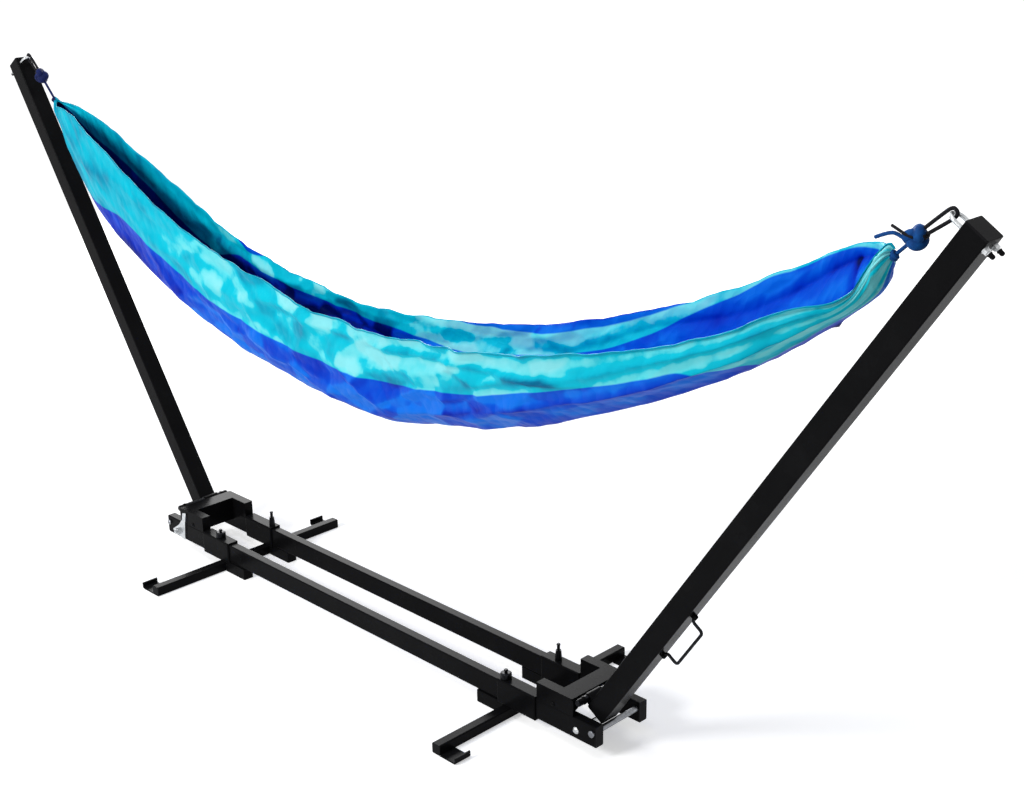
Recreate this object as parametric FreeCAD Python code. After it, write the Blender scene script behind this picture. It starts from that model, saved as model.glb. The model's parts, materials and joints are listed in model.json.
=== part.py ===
"""A folding steel hammock stand with its cloth hammock, as the separate pieces it is made of.

Frame: +X runs along the two base rails, +Z is up, and the origin is at floor level under the middle
of the stand. Lengths are in millimetres. The right end is at +X; nearly everything at the left end
is the same piece turned half a turn about Z.
"""
import FreeCAD, Part
import math
import os

V = FreeCAD.Vector
ORIGIN, X, Y, Z = V(0, 0, 0), V(1, 0, 0), V(0, 1, 0), V(0, 0, 1)

# Base rails: two 20 x 40 tubes lying side by side
TUBE_WALL = 1.5
TUBE_CORNER = 2.5
RAIL_WIDTH, RAIL_HEIGHT = 20, 40
RAIL_Y = 57
RAIL_BOTTOM = 24
RAIL_END = 652
PLUG_FLANGE, PLUG_DEPTH = 2, 14

# Arms: 40 x 40 tubes that lean outward and lie side by side when folded
ARM_SIZE = 40
ARM_Y = -21
ARM_FOOT_X, ARM_FOOT_Z = 607, 40
ARM_LEAN = 33.65
ARM_HEEL, ARM_TOP = 33, 1175
CAP_FLANGE, CAP_STEM = 3, 7

# Arm hinge and the brackets that carry it
HINGE_X, HINGE_Z = 606.6, 92
PIN_RADIUS, PIN_HEAD_RADIUS, PIN_HEAD = 4, 5.5, 2.5
RUNNING_GAP = 0.05
KNUCKLE_RADIUS, KNUCKLE_HALF_WIDTH = 8.5, 17
WASHER_GAP = 0.3
CHEEK_START, CHEEK_STEP, CHEEK_END = 512, 560, 599
CHEEK_TOP, LEDGE = 98, 95
CHEEK_LOBE, CHEEK_BOSS, BOSS_FACE = 7.5, 6.5, 62
SHEET = 3
WEB_BOTTOM = 46

# Lock rod behind the heel, tie bolt and keeper plate
LOCK_X, LOCK_Z, LOCK_RADIUS = 643.7, 49.9, 5.5
LOCK_PULL_SIDE, LOCK_FAR_SIDE = -71, 72
LOCK_HEAD_RADIUS, LOCK_HEAD = 6.4, 3.6
TIE_X, TIE_Z, TIE_RADIUS = 605.5, 40, 4
KEEPER = [(584, 24), (579, 66), (572, 93), (586, 89), (590, 72), (604, 56), (632, 37), (607, 29)]

# Feet: a cross bar under two collars that slide on the rails
FOOT_X = 439
FOOT_HALF = 242
FOOT_SIZE = 20
COLLAR_START, COLLAR_END = 415, 510
COLLAR_WALL, COLLAR_GAP = 3.6, 0.4
BLOCK_START = 361
HOOK_REACH, HOOK_LENGTH, HOOK_SHEET, HOOK_LIP = 40, 35, 3, 13

# Spring pins on the collars: tall barrels on the far rail, low round housings on the near rail
PIN_PLACES = {("near", "right"): 426, ("far", "right"): 448, ("near", "left"): -458, ("far", "left"): -426}
LOCK_PIN_RADIUS, LOCK_PIN_GAP = 3, 0.3
BARREL_RADII, BARREL_HEIGHT, TALL_REACH = (6.8, 5.2), 20, 101
HOUSING_RADIUS, HOUSING_HEIGHT, LOW_REACH = 10.5, 12, 86
KNOB_RADIUS, KNOB_HEIGHT = 3.7, 4
SPRING_RADIUS, SPRING_WIRE, CHAMBER_RADIUS = 3.9, 0.9, 4.75

# U-bolt at each arm tip
UBOLT_ALONG, UBOLT_HALF, UBOLT_RADIUS = 1160, 12, 3
UBOLT_IN, UBOLT_OUT = -33, 35
NUT_FLATS, NUT_HEIGHT = 10, 5

# Carry handle on the right arm's outer face
HANDLE_LOW, HANDLE_HIGH = 250, 341
HANDLE_RADIUS, HANDLE_OUT, HANDLE_AXIS = 2.7, 50, 24.5
BOSS_RADIUS, BOSS_LENGTH, HANDLE_TONGUE = 4, 6, 11

# Hammock: the knots and ropes that carry it, and the cloth's section along it
KNOT_X, KNOT_Z, KNOT_RADIUS = 1163, 991, 19
TIE_POINTS = {"right": (1133, 962), "left": (1112, 941)}
BINDING_RADIUS, BINDING_LENGTH = 8, 13
ROPE = 5.5
CLOTH_WALL = 6
CLOTH_SECTIONS = [
    # along X, across Y, lowest Z, near rim Z, far rim Z, half the width
    (-1097, 20, 904, 926, 936, 14),
    (-1075, 20, 880, 931, 934, 22),
    (-1030, 19, 818, 935, 919, 33),
    (-900, 16, 693, 895, 865, 47),
    (-650, 12, 570, 780, 765, 52),
    (-350, 6, 488, 690, 678, 54),
    (0, 0, 455, 646, 645, 65),
    (350, -6, 520, 679, 684, 90),
    (650, -12, 625, 741, 770, 107),
    (900, -16, 748, 820, 880, 102),
    (1030, -19, 838, 889, 946, 78),
    (1095, -20, 890, 923, 966, 44),
    (1117, -20, 922, 945, 975, 16),
]

parts = {}


def box(x0, x1, y0, y1, z0, z1):
    """A block between two corners, whatever their order."""
    low = V(min(x0, x1), min(y0, y1), min(z0, z1))
    return Part.makeBox(abs(x1 - x0), abs(y1 - y0), abs(z1 - z0), low)


def rod_y(x, z, radius, y0, y1):
    """A round bar along Y."""
    return Part.makeCylinder(radius, y1 - y0, V(x, y0, z), Y)


def domed_y(x, z, radius, y0, y1, face, rounding):
    """A round bar along Y with the rim of the end face at Y = face rounded."""
    bar = rod_y(x, z, radius, y0, y1)
    rim = [e for e in bar.Edges if abs(e.BoundBox.YMin - face) < 0.01 and abs(e.BoundBox.YMax - face) < 0.01]
    return bar.makeFillet(rounding, rim)


def joined(first, *others):
    return first.multiFuse(list(others)).removeSplitter()


def rounded_bar(width, depth, length, radius):
    """A bar along +Z with its four long edges rounded."""
    bar = Part.makeBox(width, depth, length, V(-width / 2, -depth / 2, 0))
    long_edges = [e for e in bar.Edges if abs(e.tangentAt(e.FirstParameter).z) > 0.9]
    return bar.makeFillet(radius, long_edges)


def square_tube(width, depth, length):
    """A welded steel tube along +Z, open at both ends."""
    inner = rounded_bar(width - 2 * TUBE_WALL, depth - 2 * TUBE_WALL, length, TUBE_CORNER - TUBE_WALL)
    return rounded_bar(width, depth, length, TUBE_CORNER).cut(inner)


def tube_plug(width, depth, thickness=PLUG_FLANGE, reach=PLUG_DEPTH):
    """A plastic plug for a tube's mouth: its flange is above Z = 0 and its stem below."""
    stem = rounded_bar(width - 2 * TUBE_WALL, depth - 2 * TUBE_WALL, reach, TUBE_CORNER - TUBE_WALL)
    stem.translate(V(0, 0, -reach))
    flange = rounded_bar(width, depth, thickness, TUBE_CORNER)
    rim = [e for e in flange.Edges if e.BoundBox.ZMin > thickness - 0.01]
    return flange.makeFillet(thickness / 3, rim).fuse(stem)


def placed(shape, base, axis=Z, angle=0):
    copy = shape.copy()
    copy.Placement = FreeCAD.Placement(base, FreeCAD.Rotation(axis, angle)).multiply(copy.Placement)
    return copy


def turned(shape):
    """The same piece at the other end of the stand."""
    return placed(shape, ORIGIN, Z, 180)


def mirrored(shape):
    """The same piece on the other rail."""
    return shape.mirror(ORIGIN, Y)


def on_arm(shape):
    """Places a shape made along an arm: local Z runs up the arm and local X points outward."""
    return placed(shape, V(ARM_FOOT_X, ARM_Y, ARM_FOOT_Z), Y, ARM_LEAN)


def along_arm(x, z):
    """A world point of the X-Z plane in the arm's own outward and upward coordinates."""
    lean = math.radians(ARM_LEAN)
    dx, dz = x - ARM_FOOT_X, z - ARM_FOOT_Z
    return dx * math.cos(lean) - dz * math.sin(lean), dx * math.sin(lean) + dz * math.cos(lean)


def hexagon(flats, height, bore):
    """A nut along +Z."""
    corner = flats / math.sqrt(3)
    points = [V(corner * math.cos(math.pi * k / 3), corner * math.sin(math.pi * k / 3), 0) for k in range(7)]
    nut = Part.Face(Part.makePolygon(points)).extrude(Z * height)
    crown = Part.makeCone(corner + height - 0.6, corner - 0.6, height)
    return nut.common(crown).cut(Part.makeCylinder(bore, height))


def plate_xz(points, y0, y1):
    """A flat profile in the X-Z plane, given thickness along Y."""
    outline = Part.makePolygon([V(x, y0, z) for x, z in points + points[:1]])
    return Part.Face(outline).extrude(V(0, y1 - y0, 0))


def both_ends(name, shape):
    parts[f"{name}_right"] = shape
    parts[f"{name}_left"] = turned(shape)


def swept_round(edges, start, direction, radius):
    """A round bar swept along joined edges."""
    ring = Part.Wire(Part.Circle(start, direction, radius).toShape())
    return Part.Wire(edges).makePipeShell([ring], True, True)


def cord(name, points, diameter):
    """A rope along straight runs joined by tangent arcs, as large as the runs beside them allow."""
    edges, cursor, radii = [], points[0], []
    for before, corner, after in zip(points, points[1:], points[2:]):
        back, ahead = (before - corner).normalize(), (after - corner).normalize()
        half_turn = (math.pi - back.getAngle(ahead)) / 2
        reach = 0.45 * min(corner.distanceToPoint(before), corner.distanceToPoint(after))
        radius = reach / math.tan(half_turn)
        start, end = corner + back * reach, corner + ahead * reach
        inward = (back + ahead).normalize()
        middle = corner + inward * (radius / math.cos(half_turn) - radius)
        edges += [Part.LineSegment(cursor, start).toShape(), Part.Arc(start, middle, end).toShape()]
        cursor = end
        radii.append(radius)
    edges.append(Part.LineSegment(cursor, points[-1]).toShape())
    rope = swept_round(edges, points[0], points[1] - points[0], diameter / 2)
    length = sum(e.Length for e in edges)
    full = rope.Volume / (math.pi * (diameter / 2) ** 2 * length)
    print(f"{name}: {length:.0f} mm, radii {[round(r, 1) for r in radii]}, volume share {full:.3f}")
    return rope


# ---------------------------------------------------------------- base rails

def make_rails():
    """Two rails, bored for the lock rods and the tie bolts, with a plug in each mouth."""
    inner_length = 2 * (RAIL_END - PLUG_FLANGE)
    middle = RAIL_BOTTOM + RAIL_HEIGHT / 2
    tube = square_tube(RAIL_HEIGHT, RAIL_WIDTH, inner_length)
    rail = placed(tube, V(-inner_length / 2, -RAIL_Y, middle), Y, 90)
    plug = placed(tube_plug(RAIL_HEIGHT, RAIL_WIDTH), V(inner_length / 2, -RAIL_Y, middle), Y, 90)
    lock_bore = rod_y(LOCK_X, LOCK_Z, LOCK_RADIUS + RUNNING_GAP, -100, 100)
    tie_bore = rod_y(TIE_X, TIE_Z, TIE_RADIUS + RUNNING_GAP, -100, 100)
    for bore in (lock_bore, turned(lock_bore), tie_bore, turned(tie_bore)):
        rail = rail.cut(bore)
    plug = plug.cut(lock_bore)
    parts["rail_near"] = rail
    parts["rail_far"] = turned(rail)
    near_plugs = [plug, mirrored(plug)]
    parts["rail_end_plugs"] = Part.makeCompound(near_plugs + [turned(p) for p in near_plugs])


# ---------------------------------------------------------------- hinge brackets

def make_cheek():
    """A steel cheek on the rail, open at its outer end, with the hinge pin's boss on its inner wall."""
    rail_top, outer = RAIL_BOTTOM + RAIL_HEIGHT, RAIL_Y + RAIL_WIDTH / 2
    inner = outer - RAIL_WIDTH
    high = box(CHEEK_START, CHEEK_STEP, -outer, -inner, rail_top, CHEEK_TOP)
    low = box(CHEEK_STEP, CHEEK_END, -outer, -inner, rail_top, LEDGE)
    hollow = box(CHEEK_START + SHEET, CHEEK_END, SHEET - outer, -inner - SHEET, rail_top, LEDGE - SHEET)
    inner_corner = plate_xz([(CHEEK_END - 11, rail_top), (CHEEK_END, rail_top), (CHEEK_END, rail_top + 16)],
                            SHEET - outer, -inner)
    shell = joined(high, low).cut(hollow).cut(inner_corner)
    neck = plate_xz([(CHEEK_END - 9, rail_top + 14), (CHEEK_END - 9, LEDGE), (HINGE_X, LEDGE),
                     (HINGE_X, HINGE_Z - CHEEK_LOBE)], -inner - SHEET, -inner)
    lobe = rod_y(HINGE_X, HINGE_Z, CHEEK_LOBE, -inner - SHEET, -inner)
    boss = rod_y(HINGE_X, HINGE_Z, CHEEK_BOSS, -BOSS_FACE, -inner)
    cheek = joined(shell, neck, lobe, boss)
    return cheek.cut(rod_y(HINGE_X, HINGE_Z, PIN_RADIUS + RUNNING_GAP, -outer, -inner))


def make_brackets():
    """Cheeks, the bent bridge plate between them, the hinge pin and its spacer tubes."""
    rail_top, outer = RAIL_BOTTOM + RAIL_HEIGHT, RAIL_Y + RAIL_WIDTH / 2
    inner = outer - RAIL_WIDTH
    cheek = make_cheek()
    both_ends("cheeks", Part.makeCompound([cheek, mirrored(cheek)]))

    cover_end = CHEEK_END - 2
    cover = box(CHEEK_STEP, cover_end, -outer, outer, LEDGE, LEDGE + SHEET)
    web = box(CHEEK_STEP, CHEEK_STEP + SHEET, -inner, inner, WEB_BOTTOM, LEDGE)
    bridge = joined(cover, web)
    ends = [e for e in bridge.Edges if e.BoundBox.YLength < 0.01 and e.BoundBox.XLength < 0.01
            and e.BoundBox.XMin > cover_end - 1]
    both_ends("bridge_plate", bridge.makeFillet(3, ends))

    pin = rod_y(HINGE_X, HINGE_Z, PIN_RADIUS, -BOSS_FACE, BOSS_FACE)
    tip = BOSS_FACE + PIN_HEAD
    heads = [domed_y(HINGE_X, HINGE_Z, PIN_HEAD_RADIUS, -tip, -BOSS_FACE, -tip, 1.5),
             domed_y(HINGE_X, HINGE_Z, PIN_HEAD_RADIUS, BOSS_FACE, tip, tip, 1.5)]
    pin = joined(pin, *heads)
    parts["hinge_pins"] = Part.makeCompound([pin, turned(pin)])

    low, high = ARM_Y - KNUCKLE_HALF_WIDTH - WASHER_GAP, ARM_Y + KNUCKLE_HALF_WIDTH + WASHER_GAP
    bore = rod_y(HINGE_X, HINGE_Z, PIN_RADIUS + RUNNING_GAP, -inner, inner)
    spacers = [rod_y(HINGE_X, HINGE_Z, CHEEK_BOSS, y0, y1).cut(bore)
               for y0, y1 in ((-inner, low), (high, inner))]
    parts["pin_spacers"] = Part.makeCompound(spacers + [turned(s) for s in spacers])

    washers, screws = [], []
    for side in (-1, 1):
        face = side * outer
        washers.append(Part.makeCylinder(5, 1, V(551, face, rail_top + 6), Y * side))
        dome = Part.makeSphere(5, V(551, face - side * 2.6, rail_top + 6))
        keep = box(540, 562, face + side, face + side * 8, rail_top, rail_top + 12)
        screws.append(dome.common(keep))
    rivets = [joined(w, s) for w, s in zip(washers, screws)]
    parts["cheek_rivets"] = Part.makeCompound(rivets + [turned(r) for r in rivets])


def make_lock_and_ties():
    """The pull-out lock rod, the tie bolt with its nut and the bright keeper plate."""
    outer = RAIL_Y + RAIL_WIDTH / 2
    rod = rod_y(LOCK_X, LOCK_Z, LOCK_RADIUS, LOCK_PULL_SIDE + LOCK_HEAD / 2, LOCK_FAR_SIDE)
    nose = [e for e in rod.Edges if abs(e.BoundBox.YMin - LOCK_FAR_SIDE) < 0.01]
    rod = rod.makeChamfer(2, nose)
    head = domed_y(LOCK_X, LOCK_Z, LOCK_HEAD_RADIUS, LOCK_PULL_SIDE, LOCK_PULL_SIDE + LOCK_HEAD,
                   LOCK_PULL_SIDE, 1.5)
    both_ends("lock_rod", joined(rod, head))

    head = Part.makeSphere(8, V(TIE_X, -outer + 4.6, TIE_Z)).common(
        box(TIE_X - 9, TIE_X + 9, -outer - 5, -outer, TIE_Z - 9, TIE_Z + 9))
    shank = rod_y(TIE_X, TIE_Z, TIE_RADIUS, -outer, outer + SHEET + 11)
    bolt = joined(head, shank)
    parts["tie_bolts"] = Part.makeCompound([bolt, turned(bolt)])
    nut = placed(hexagon(13, 6.5, TIE_RADIUS + RUNNING_GAP), V(TIE_X, outer + SHEET, TIE_Z), X, -90)
    parts["tie_nuts"] = Part.makeCompound([nut, turned(nut)])

    keeper = plate_xz(KEEPER, outer, outer + SHEET)
    corners = [e for e in keeper.Edges if e.BoundBox.YLength > SHEET / 2]
    keeper = keeper.makeFillet(2, corners)
    keeper = keeper.cut(rod_y(TIE_X, TIE_Z, TIE_RADIUS + RUNNING_GAP, 0, 2 * outer))
    parts["keeper_plates"] = Part.makeCompound([keeper, turned(keeper)])


# ---------------------------------------------------------------- feet

def make_feet():
    """Cross bars with end hooks and plugs, and the collars and blocks that carry the rails."""
    rail_top, rail_half = RAIL_BOTTOM + RAIL_HEIGHT, RAIL_WIDTH / 2
    bar_half = FOOT_HALF - PLUG_FLANGE
    bar = square_tube(FOOT_SIZE, FOOT_SIZE, 2 * bar_half)
    both_ends("foot_bar", placed(bar, V(FOOT_X, -bar_half, FOOT_SIZE / 2), X, -90))
    plug = placed(tube_plug(FOOT_SIZE, FOOT_SIZE), V(FOOT_X, bar_half, FOOT_SIZE / 2), X, -90)
    both_ends("foot_bar_plugs", Part.makeCompound([plug, mirrored(plug)]))

    gap, wall = COLLAR_GAP, COLLAR_GAP + COLLAR_WALL
    outside = box(COLLAR_START, COLLAR_END, -RAIL_Y - rail_half - wall, -RAIL_Y + rail_half + wall,
                  RAIL_BOTTOM - wall, rail_top + wall)
    upright = [e for e in outside.Edges if e.BoundBox.ZLength > 1]
    lengthwise = [e for e in outside.Edges if e.BoundBox.XLength > 1]
    outside = outside.makeFillet(3, upright + lengthwise)
    inside = box(COLLAR_START, COLLAR_END, -RAIL_Y - rail_half - gap, -RAIL_Y + rail_half + gap,
                 RAIL_BOTTOM - gap, rail_top + gap)
    collar = outside.cut(inside)
    for end in ("right", "left"):
        pair = []
        for rail, y, side in (("near", -RAIL_Y, collar), ("far", RAIL_Y, mirrored(collar))):
            if end == "left":
                side = mirrored(turned(side))
            spot = V(PIN_PLACES[rail, end], y, rail_top)
            pair.append(side.cut(Part.makeCylinder(LOCK_PIN_RADIUS + RUNNING_GAP, 2 * wall, spot)))
        parts[f"collars_{end}"] = Part.makeCompound(pair)

    under_collar, under_rail = RAIL_BOTTOM - wall, RAIL_BOTTOM - gap
    bar_side = FOOT_X - FOOT_SIZE / 2
    side = [(BLOCK_START, 0), (bar_side, 0), (bar_side, under_collar), (COLLAR_START, under_collar),
            (COLLAR_START, under_rail), (BLOCK_START, under_rail)]
    block = plate_xz(side, -RAIL_Y - 13, -RAIL_Y + rail_half)
    nose = [e for e in block.Edges if e.BoundBox.XMax < BLOCK_START + 0.01 and e.BoundBox.YLength < 0.01]
    block = block.makeFillet(2, nose)
    both_ends("foot_blocks", Part.makeCompound([block, mirrored(block)]))

    bar_face = FOOT_X + FOOT_SIZE / 2
    tip = bar_face + HOOK_REACH
    hook = joined(box(bar_face, tip, FOOT_HALF - HOOK_LENGTH, FOOT_HALF, 0, HOOK_SHEET),
                  box(tip - HOOK_SHEET, tip, FOOT_HALF - HOOK_LENGTH, FOOT_HALF, 0, HOOK_LIP))
    bends = [e for e in hook.Edges if e.BoundBox.YLength > 1 and e.BoundBox.ZLength < 0.01]
    outer_bend = [e for e in bends if e.BoundBox.ZMax < 0.01 and e.BoundBox.XMin > tip - 0.01]
    inner_bend = [e for e in bends if abs(e.BoundBox.ZMax - HOOK_SHEET) < 0.01
                  and abs(e.BoundBox.XMin - tip + HOOK_SHEET) < 0.01]
    hook = hook.makeFillet(5, outer_bend)
    inner_bend = [e for e in hook.Edges if e.BoundBox.YLength > 1
                  and abs(e.BoundBox.ZMax - HOOK_SHEET) < 0.01 and e.BoundBox.ZLength < 0.01
                  and abs(e.BoundBox.XMax - tip + HOOK_SHEET) < 0.01]
    hook = hook.makeFillet(2, inner_bend)
    both_ends("foot_hooks", Part.makeCompound([hook, mirrored(hook)]))


# ---------------------------------------------------------------- spring pins

def make_spring(seat, height):
    """The closed envelope of a small coil spring standing on the pin's collar."""
    outer = Part.makeCylinder(SPRING_RADIUS + SPRING_WIRE / 2, height)
    return placed(outer.cut(Part.makeCylinder(SPRING_RADIUS - SPRING_WIRE / 2, height)), seat)


def make_lock_pins():
    """Four sprung pull pins, each in a housing that stands on its collar."""
    top = RAIL_BOTTOM + RAIL_HEIGHT + COLLAR_GAP + COLLAR_WALL
    chamber_height, lift = 11, 2
    tip = RAIL_BOTTOM + RAIL_HEIGHT + LOCK_PIN_GAP
    chamber = Part.makeCylinder(CHAMBER_RADIUS, chamber_height, V(0, 0, top))
    barrel = Part.makeCone(*BARREL_RADII, BARREL_HEIGHT, V(0, 0, top))
    housing = Part.makeCylinder(HOUSING_RADIUS, HOUSING_HEIGHT, V(0, 0, top))
    housing = housing.makeFillet(3, [e for e in housing.Edges if e.BoundBox.ZMin > top + 1])
    for end in ("right", "left"):
        bodies = []
        for rail, side, body, reach in (("near", -1, housing, LOW_REACH), ("far", 1, barrel, TALL_REACH)):
            seat = V(PIN_PLACES[rail, end], side * RAIL_Y, 0)
            body = body.cut(chamber).cut(Part.makeCylinder(LOCK_PIN_RADIUS + RUNNING_GAP, 40, V(0, 0, top)))
            bodies.append(placed(body, seat))
            pin = Part.makeCylinder(LOCK_PIN_RADIUS, reach - tip, V(0, 0, tip))
            flange = Part.makeCylinder(SPRING_RADIUS + SPRING_WIRE / 2, 1.4, V(0, 0, top + 0.3))
            knob = Part.makeCylinder(KNOB_RADIUS, KNOB_HEIGHT, V(0, 0, reach - KNOB_HEIGHT))
            knob = knob.makeFillet(1.2, [e for e in knob.Edges if e.BoundBox.ZLength < 0.01])
            parts[f"lock_pin_{rail}_{end}"] = placed(joined(pin, flange, knob), seat)
            foot = seat + V(0, 0, top + lift + 0.2)
            parts[f"pin_spring_{rail}_{end}"] = make_spring(foot, chamber_height - lift - 0.6)
        parts[f"pin_bodies_{end}"] = Part.makeCompound(bodies)


# ---------------------------------------------------------------- arms

def make_arms():
    """The two leaning arms with their hinge knuckles, caps, heel plugs and U-bolts."""
    hinge_out, hinge_up = along_arm(HINGE_X, HINGE_Z)
    half = ARM_SIZE / 2
    tube_start, tube_end = ARM_HEEL + PLUG_FLANGE, ARM_TOP - CAP_FLANGE
    tube = square_tube(ARM_SIZE, ARM_SIZE, tube_end - tube_start)
    tube.translate(V(0, 0, tube_start))
    for y in (-UBOLT_HALF, UBOLT_HALF):
        tube = tube.cut(Part.makeCylinder(UBOLT_RADIUS + 0.2, 2 * ARM_SIZE, V(-ARM_SIZE, y, UBOLT_ALONG), X))
    both_ends("arm_tube", on_arm(tube))

    cap = placed(tube_plug(ARM_SIZE, ARM_SIZE, CAP_FLANGE, CAP_STEM), V(0, 0, tube_end))
    both_ends("arm_cap", on_arm(cap))
    heel = placed(tube_plug(ARM_SIZE, ARM_SIZE), V(0, 0, tube_start), X, 180)
    both_ends("heel_plug", on_arm(heel))

    edge = V(hinge_out, -KNUCKLE_HALF_WIDTH, hinge_up)
    barrel = Part.makeCylinder(KNUCKLE_RADIUS, 2 * KNUCKLE_HALF_WIDTH, edge, Y)
    foot = box(hinge_out, -half, -KNUCKLE_HALF_WIDTH, KNUCKLE_HALF_WIDTH,
               hinge_up - KNUCKLE_RADIUS, hinge_up + KNUCKLE_RADIUS)
    bore = Part.makeCylinder(PIN_RADIUS + RUNNING_GAP, ARM_SIZE, V(hinge_out, -half, hinge_up), Y)
    both_ends("knuckle", on_arm(joined(barrel, foot).cut(bore)))

    legs = [Part.makeCylinder(UBOLT_RADIUS, UBOLT_OUT - UBOLT_IN, V(UBOLT_IN, y, UBOLT_ALONG), X)
            for y in (-UBOLT_HALF, UBOLT_HALF)]
    ring = Part.makeTorus(UBOLT_HALF, UBOLT_RADIUS, V(UBOLT_IN, 0, UBOLT_ALONG), Z)
    inner_side = box(UBOLT_IN - ARM_SIZE, UBOLT_IN, -ARM_SIZE, ARM_SIZE, UBOLT_ALONG - 9, UBOLT_ALONG + 9)
    bend = ring.common(inner_side)
    both_ends("ubolt", on_arm(joined(bend, *legs)))
    nuts = []
    for y in (-UBOLT_HALF, UBOLT_HALF):
        nut = hexagon(NUT_FLATS, NUT_HEIGHT, UBOLT_RADIUS + RUNNING_GAP)
        nut = placed(nut, V(half + 1.2, y, UBOLT_ALONG), Y, 90)
        washer = Part.makeCylinder(6, 1.2, V(half, y, UBOLT_ALONG), X)
        shank = Part.makeCylinder(UBOLT_RADIUS + RUNNING_GAP, 1.2, V(half, y, UBOLT_ALONG), X)
        nuts += [nut, washer.cut(shank)]
    both_ends("ubolt_nuts", on_arm(Part.makeCompound(nuts)))


def make_handle():
    """A wire carry handle whose ends turn in two welded bosses, on the right arm only."""
    axis, bend = HANDLE_AXIS, 6
    low, high, out = HANDLE_LOW, HANDLE_HIGH, HANDLE_OUT
    middle = bend * (1 - math.sqrt(0.5))

    def corner(a, b, c):
        return Part.Arc(V(a[0], 0, a[1]), V(b[0], 0, b[1]), V(c[0], 0, c[1])).toShape()

    def run(a, b):
        return Part.LineSegment(V(a[0], 0, a[1]), V(b[0], 0, b[1])).toShape()

    edges = [
        run((axis, low - HANDLE_TONGUE), (axis, low - bend)),
        corner((axis, low - bend), (axis + middle, low - middle), (axis + bend, low)),
        run((axis + bend, low), (out - bend, low)),
        corner((out - bend, low), (out - middle, low + middle), (out, low + bend)),
        run((out, low + bend), (out, high - bend)),
        corner((out, high - bend), (out - middle, high - middle), (out - bend, high)),
        run((out - bend, high), (axis + bend, high)),
        corner((axis + bend, high), (axis + middle, high + middle), (axis, high + bend)),
        run((axis, high + bend), (axis, high + HANDLE_TONGUE)),
    ]
    start = V(axis, 0, low - HANDLE_TONGUE)
    parts["carry_handle"] = on_arm(swept_round(edges, start, Z, HANDLE_RADIUS))
    bosses = []
    for foot, tongue in ((low - bend - 1 - BOSS_LENGTH, low), (high + bend + 1, high)):
        boss = Part.makeCylinder(BOSS_RADIUS + 0.1, BOSS_LENGTH, V(axis, 0, foot))
        weld = box(ARM_SIZE / 2, axis, -BOSS_RADIUS, BOSS_RADIUS, foot, foot + BOSS_LENGTH)
        hole = Part.makeCylinder(HANDLE_RADIUS + RUNNING_GAP, BOSS_LENGTH, V(axis, 0, foot))
        bosses.append(joined(boss, weld).cut(hole))
    parts["handle_bosses"] = on_arm(Part.makeCompound(bosses))


# ---------------------------------------------------------------- hammock and its ropes

def cloth_outline(x, y, low, near_rim, far_rim, half_width):
    """The cloth's U-shaped section: an outer and an inner curve joined at the two rims."""
    shape = [(-1, 1), (-0.93, 0.45), (-0.6, 0.1), (0, 0), (0.6, 0.1), (0.93, 0.45), (1, 1)]

    def curve(inset, points):
        half, bottom = half_width - inset, low + inset
        spline = Part.BSplineCurve()
        spline.interpolate([
            V(x, y + half * across, bottom + rise * ((near_rim if across < 0 else far_rim) - bottom))
            for across, rise in points])
        return spline

    outer, inner = curve(0, shape), curve(CLOTH_WALL, shape[::-1])
    far_edge = Part.LineSegment(outer.EndPoint, inner.StartPoint)
    near_edge = Part.LineSegment(inner.EndPoint, outer.StartPoint)
    return Part.Wire([edge.toShape() for edge in (outer, far_edge, inner, near_edge)])


def make_hammock():
    """The hanging cloth as one thick U-shaped shell."""
    sections = [cloth_outline(*section) for section in CLOTH_SECTIONS]
    parts["hammock_cloth"] = Part.makeLoft(sections, True, False)


def make_ropes():
    """At each arm tip: a doubled loop, the knot on it, the neck rope to the cloth and two loose tails."""
    lean = math.radians(ARM_LEAN)
    up, out = V(math.sin(lean), 0, math.cos(lean)), V(math.cos(lean), 0, -math.sin(lean))
    bolt = V(ARM_FOOT_X, ARM_Y, ARM_FOOT_Z) + up * UBOLT_ALONG + out * (UBOLT_IN - UBOLT_HALF)
    knot_at = V(KNOT_X, ARM_Y, KNOT_Z)
    pull = (bolt - knot_at).normalize()
    across = V(-pull.z, 0, pull.x)
    turn = UBOLT_RADIUS + ROPE / 2 + 0.5
    near_knot = knot_at + pull * (KNOT_RADIUS - 2)
    loop = [near_knot + across * turn, bolt + across * turn + pull * turn,
            bolt - across * turn + pull * turn, near_knot - across * turn]
    knot = Part.makeSphere(KNOT_RADIUS, knot_at)
    loop_rope = cord("end_loop", loop, ROPE)
    both_ends("end_loop", loop_rope.cut(knot))

    bindings = []
    for end, (tie_x, tie_z) in TIE_POINTS.items():
        tie_at = V(tie_x, ARM_Y, tie_z)
        line = (tie_at - knot_at).normalize()
        neck = cord(f"neck_rope_{end}", [knot_at + line * 5, tie_at], ROPE).cut(knot)
        binding = Part.makeCylinder(BINDING_RADIUS, BINDING_LENGTH, tie_at + line * 0.5, line)
        binding = binding.makeFillet(3, [e for e in binding.Edges if len(e.Vertexes) == 1])
        if end == "left":
            neck, binding = turned(neck), turned(binding)
        parts[f"neck_rope_{end}"] = neck
        bindings.append(binding)
    parts["cloth_ties"] = Part.makeCompound(bindings)
    low_tail = [knot_at + V(-5, -7, -6), knot_at + V(-20, -9, 3), knot_at + V(-34, -9, 4),
                knot_at + V(-55, -9, -6.5)]
    high_tail = [knot_at + V(1, -10, 2), knot_at + V(-7, -12, 4), knot_at + V(-18, -12, 9),
                 knot_at + V(-30, -12, 14)]
    parts["rope_tail"] = cord("rope_tail", low_tail, ROPE).cut(knot)
    parts["loop_tail"] = cord("loop_tail", high_tail, ROPE * 0.8).cut(knot)
    both_ends("hammock_knot", knot)


make_rails()
make_brackets()
make_lock_and_ties()
make_feet()
make_lock_pins()
make_arms()
make_handle()
make_hammock()
make_ropes()

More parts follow.
